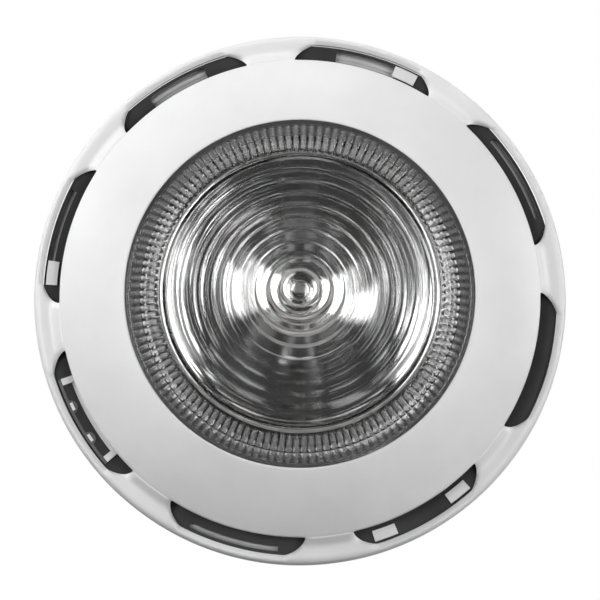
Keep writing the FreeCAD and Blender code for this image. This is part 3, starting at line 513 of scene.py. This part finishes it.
def lens_outer_outline():
    """(radius, front) from the centre of the lens out to its clamped flange."""
    outline = [(0, LENS_FRONT - 0.2), (2.6, LENS_FRONT - 0.2), (3.6, LENS_FRONT - 0.35),
               (4.1, LENS_FRONT - 0.9), (4.6, LENS_FRONT - 1.3), (5.6, LENS_FRONT - 1.1),
               (6.4, LENS_FRONT - 0.5)]
    for step in range(1, 15):
        radius = mix(6.4, SHOULDER_RADIUS, step / 14)
        share = radius / SHOULDER_RADIUS
        outline.append((radius, LENS_FRONT - (LENS_FRONT - SHOULDER_FRONT) * share ** 2))
    first, last = math.radians(12), math.radians(84)
    for step in range(1, 9):
        turn = math.radians(mix(12, 84, step / 8))
        reach = (math.sin(turn) - math.sin(first)) / (math.sin(last) - math.sin(first))
        drop = (math.cos(first) - math.cos(turn)) / (math.cos(first) - math.cos(last))
        outline.append((mix(SHOULDER_RADIUS, DISC_RADIUS, reach), mix(SHOULDER_FRONT, DISC_FRONT, drop)))
    outline += [(71.1, 39.6), (71.4, 38.2), (71.7, 37.5), (72.2, 37.4)]
    for radius in (72.6, 72.8, 73.1, 73.5, 74.0, 74.8, 76.2, 78.0, 79.4,
                   79.9, 80.2, 81.2, 82.8, 84.4, 85.4, 85.8, 86):
        share = (radius - 72.6) / (FLUTE_OUTER - 72.6)
        outline.append((radius, mix(37.4, LENS_STEP_FRONT + 0.1, share ** 1.1)))
    outline += [(86.8, LENS_STEP_FRONT), (88.8, LENS_STEP_FRONT), (89.3, LENS_STEP_FRONT - 0.3),
                (LENS_STEP_RADIUS, LENS_STEP_FRONT - 0.8), (LENS_STEP_RADIUS, LENS_FLANGE_FRONT + 0.2),
                (LENS_STEP_RADIUS + 0.2, LENS_FLANGE_FRONT), (LENS_FLANGE_RADIUS - 0.3, LENS_FLANGE_FRONT),
                (LENS_FLANGE_RADIUS, LENS_FLANGE_FRONT - 0.3), (LENS_FLANGE_RADIUS, LENS_BACK + 0.3),
                (LENS_FLANGE_RADIUS - 0.3, LENS_BACK)]
    return outline


def inner_disc_front(radius):
    share = radius / SHOULDER_RADIUS
    return SHOULDER_FRONT - LENS_WALL + (LENS_FRONT - SHOULDER_FRONT) * (1 - share * share)


def lens_inner_outline():
    """From the flange back to the axis: a stepped shoulder, then prism rings that meet in sharp valleys."""
    outline = [(86.2, LENS_BACK), (86.0, 24.2), (86.0, 27.2), (84.6, 28.2), (80.6, 30.4), (80.0, 31.2),
               (79.6, 32.4), (75.0, 34.4), (72.6, 35.6), (71.6, 36.4), (69.4, 37.0), (68.0, 37.8),
               (67.6, 38.6), (66.9, 40.2)]
    rings, steps = 10, 6
    for ring in range(rings, 0, -1):
        high, low = ring * RING_PITCH + BUTTON_RADIUS, (ring - 1) * RING_PITCH + BUTTON_RADIUS
        for step in range(steps):
            share = step / steps
            radius = mix(high, low, share)
            sag = 0.95 * (1 - (2 * share - 1) ** 2)
            fade = smoothstep((68.5 - radius) / 9)
            base = inner_disc_front(radius) if radius < SHOULDER_RADIUS else mix(
                inner_disc_front(SHOULDER_RADIUS), DISC_FRONT, smoothstep((radius - SHOULDER_RADIUS) / 8.6))
            outline.append((radius, base - sag * fade))
    outline += [(BUTTON_RADIUS, inner_disc_front(BUTTON_RADIUS)), (3.0, inner_disc_front(3) - 0.5),
                (0, inner_disc_front(0) - 0.7)]
    return outline


def flute_crest(radius, angle):
    """Height of a flute between 0 in the valley and 1 on its crest, rounded off at its inner end."""
    turn = (angle * FLUTES / 360) % 1
    across = abs(2 * turn - 1)
    inward = max(0.0, 1 - (radius - FLUTE_INNER + 0.4) / 1.6)
    reach = across * across / 0.62 + inward * inward
    return math.sqrt(max(0.0, 1 - reach))


def make_lens():
    """The two tiers of flutes stand proud of the slope; the inner ones end in round fingertips."""
    outer, inner = lens_outer_outline(), lens_inner_outline()
    per_flute = 10
    columns = FLUTES * per_flute
    outer_rows = len(outer)

    def height(row, radius, angle):
        if row >= outer_rows or radius < FLUTE_INNER - 1 or radius > FLUTE_OUTER + 0.2:
            return 0
        tier = 1.25 if radius < TIER_RADIUS else mix(0.75, 0.35, smoothstep((radius - TIER_RADIUS) / 6))
        return tier * flute_crest(radius, angle) * smoothstep((FLUTE_OUTER - radius + 0.3) / 0.8)

    lens = lathe("lens_moulding", outer + inner, columns, height)
    # Frost follows each flute's crest, so the crests scatter milky white and the valleys stay clear: a
    # painted highlight on the fingertips. The flange gets an even frost.
    frost_and_crest_highlight = lens.data.attributes.new("frost_and_crest_highlight", "FLOAT", "POINT")
    values = []
    for vertex in lens.data.vertices:
        radius = math.hypot(vertex.co.x, vertex.co.z) / MM
        angle = math.degrees(math.atan2(vertex.co.z, vertex.co.x))
        front = -vertex.co.y / MM
        if FLUTE_INNER - 1 < radius < FLUTE_OUTER + 0.2 and front > LENS_STEP_FRONT - 0.5:
            share = max(0.0, min(1.0, 1.5 * flute_crest(radius, angle) - 0.5))
            values.append(share if radius < TIER_RADIUS else mix(0.35, 0.8, share))
        elif radius >= FLUTE_OUTER and front > LENS_FLANGE_FRONT:
            values.append(0.5)
        else:
            values.append(0.0)
    frost_and_crest_highlight.data.foreach_set("value", values)
    dress(lens, "clear_lens")
    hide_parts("lens")
    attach(lens, "root")


# ---------------------------------------------------------------- reflector

def make_reflector():
    """Spun bowl: a smooth paraboloid, a rolled rim, a sloping flange under the flutes and a screwed foot."""
    rim, vertex, hole, sheet = 68.5, -10.5, 13.5, 1.1
    rim_front, foot = 34.5, 21.0

    def bowl(radius):
        return vertex + (rim_front - vertex) * (radius / rim) ** 2

    inner = [(mix(hole, rim, step / 60), bowl(mix(hole, rim, step / 60))) for step in range(61)]
    rolled = [(68.9, 34.6), (69.4, 34.6), (69.9, 34.35), (70.3, 34.0)]
    flange = [(72.5, 32.9), (75.0, 31.6), (76.8, 30.7), (77.3, 30.2), (77.55, 29.4), (78.4, 22.0),
              (78.8, foot)]
    foot_ring = [(81.0, foot), (84.3, foot), (84.5, foot - 0.2), (84.5, foot - sheet), (77.7, foot - sheet)]
    under = [(77.2, foot), (76.5, 28.6), (76.2, 29.3), (73.0, 31.0), (69.8, 32.5)]
    outer = [(r, f - sheet * (1 + 0.8 * (r / rim) ** 2)) for r, f in inner[::-4]]
    mirror = lathe("spun_reflector", inner + rolled + flange + foot_ring + under + outer, 256)
    dress(mirror, "spun_mirror")
    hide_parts("reflector")
    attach(mirror, "root")


# ---------------------------------------------------------------- camera, light and stage

ROLL = math.radians(7)
TILT = math.radians(7)
DISTANCE = 4.0
RING_SHARE = 0.886  # how much of the picture's width the ring fills
HALF_VIEW = OUTER * MM / RING_SHARE


def make_camera():
    """Nearly straight in front, a little below; the light sits turned a few degrees in the picture."""
    down = Vector((-math.sin(ROLL), 0, -math.cos(ROLL)))
    away = Vector((0, -1, 0)) * math.cos(TILT) + down * math.sin(TILT)
    aim = Vector((0.0, -0.006, 0.0))
    data = bpy.data.cameras.new("camera")
    data.sensor_width = 36
    data.lens = data.sensor_width / 2 / (HALF_VIEW / DISTANCE)
    data.clip_end = 50
    camera = bpy.data.objects.new("camera", data)
    bpy.context.scene.collection.objects.link(camera)
    forward = -away
    up = -down
    right = forward.cross(up).normalized()
    up = right.cross(forward).normalized()
    turn = Matrix((right, up, -forward)).transposed()
    camera.matrix_world = Matrix.Translation(aim + away * DISTANCE) @ turn.to_4x4()
    bpy.context.scene.camera = camera


def area_light(name, place, size, power):
    """A large soft panel aimed at the lamp, which doesn't show in the mirror or the lens."""
    data = bpy.data.lights.new(name, "AREA")
    data.shape = "RECTANGLE"
    data.size, data.size_y = size
    data.energy = power
    light = bpy.data.objects.new(name, data)
    bpy.context.scene.collection.objects.link(light)
    light.location = place
    light.rotation_mode = "QUATERNION"
    light.rotation_quaternion = (-Vector(place)).to_track_quat("-Z", "Y")
    light.visible_glossy = False
    light.visible_transmission = False


def make_lights():
    area_light("fill_upper_left", (-1.2, -0.5, 1.52), (1.0, 1.0), 26)
    area_light("fill_behind", (0.9, 1.6, 1.3), (1.4, 1.4), 30)


def math_node(nodes, links, operation, *values):
    node = nodes.new("ShaderNodeMath")
    node.operation = operation
    for socket, value in zip(node.inputs, values):
        if isinstance(value, (int, float)):
            socket.default_value = value
        else:
            links.new(value, socket)
    return node.outputs["Value"]


def smooth_step(nodes, links, value, start, end, level=1.0):
    node = nodes.new("ShaderNodeMapRange")
    node.interpolation_type = "SMOOTHSTEP"
    node.inputs["From Min"].default_value = start
    node.inputs["From Max"].default_value = end
    node.inputs["To Max"].default_value = level
    links.new(value, node.inputs["Value"])
    return node.outputs["Result"]


def soft_box(nodes, links, turn, tilt, toward, half_width, near, far, level):
    """A bright panel from near to far degrees off the lamp's axis, and half_width degrees wide each way."""
    side_blur, end_blur = 6, 5
    apart = math_node(nodes, links, "COSINE", math_node(nodes, links, "SUBTRACT", turn, math.radians(toward)))
    across = smooth_step(nodes, links, apart, math.cos(math.radians(half_width + side_blur)),
                         math.cos(math.radians(half_width - side_blur)), level)
    inner = smooth_step(nodes, links, tilt, math.radians(near - end_blur), math.radians(near + end_blur))
    outer = smooth_step(nodes, links, tilt, math.radians(far + end_blur), math.radians(far - end_blur))
    return math_node(nodes, links, "MULTIPLY", across, math_node(nodes, links, "MULTIPLY", inner, outer))


# Each soft box of the studio: its turn about the lamp's axis, half its width, how far off the axis it starts
# and ends, all in degrees, and its brightness. A search program found most of these values, and the others
# were adjusted from its result.
SOFT_BOXES = {
    "left_panel": (166, 27, 20, 41, 6.8),
    "left_side": (150, 9, 63, 94, 4.1),
    "right_panel": (-11, 29, 21, 42, 6.0),
    "right_side": (4, 18, 72, 92, 7.6),
    "low_spot": (297, 9, 12, 22, 5.0),
    "high_strip": (81, 9, 67, 78, 4.0),
}


def make_world():
    """White behind the object; round it a dark studio with soft boxes on the left and on the right."""
    world = bpy.data.worlds.new("room")
    bpy.context.scene.world = world
    world.use_nodes = True
    nodes, links = world.node_tree.nodes, world.node_tree.links
    background = nodes["Background"]
    coords = nodes.new("ShaderNodeTexCoord")
    parts = nodes.new("ShaderNodeSeparateXYZ")
    links.new(coords.outputs["Generated"], parts.inputs["Vector"])
    turn = math_node(nodes, links, "ARCTAN2", parts.outputs["Z"], parts.outputs["X"])
    tilt = math_node(nodes, links, "ARCCOSINE", math_node(nodes, links, "MULTIPLY", parts.outputs["Y"], -1.0))
    room = smooth_step(nodes, links, tilt, math.radians(100), math.radians(130), 0.4)
    room = math_node(nodes, links, "ADD", room, 0.05)
    for toward, half_width, near, far, level in SOFT_BOXES.values():
        panel = soft_box(nodes, links, turn, tilt, toward, half_width, near, far, level)
        room = math_node(nodes, links, "ADD", room, panel)
    path = nodes.new("ShaderNodeLightPath")
    level = nodes.new("ShaderNodeMix")
    links.new(path.outputs["Is Camera Ray"], level.inputs["Factor"])
    links.new(room, level.inputs["A"])
    level.inputs["B"].default_value = 1.0
    links.new(level.outputs["Result"], background.inputs["Strength"])
    background.inputs["Color"].default_value = (1, 1, 1, 1)


def make_floor():
    """A pale floor well below; the mirror and the lens don't show it, and it throws no light back up."""
    bpy.ops.mesh.primitive_plane_add(size=3, location=(0, 0, -0.9))
    floor = bpy.context.active_object
    floor.name = "floor"
    floor.visible_glossy = False
    floor.visible_transmission = False
    floor.visible_diffuse = False
    floor.data.materials.append(surface("pale_floor", grey(0.78), grey(0.82), (0.6, 0.7), 2, 60, 0.02))


bpy.context.scene.view_settings.view_transform = "Standard"
make_camera()
make_lights()
make_world()
make_floor()
dress_frame()
make_face_ring()
make_lens()
make_reflector()
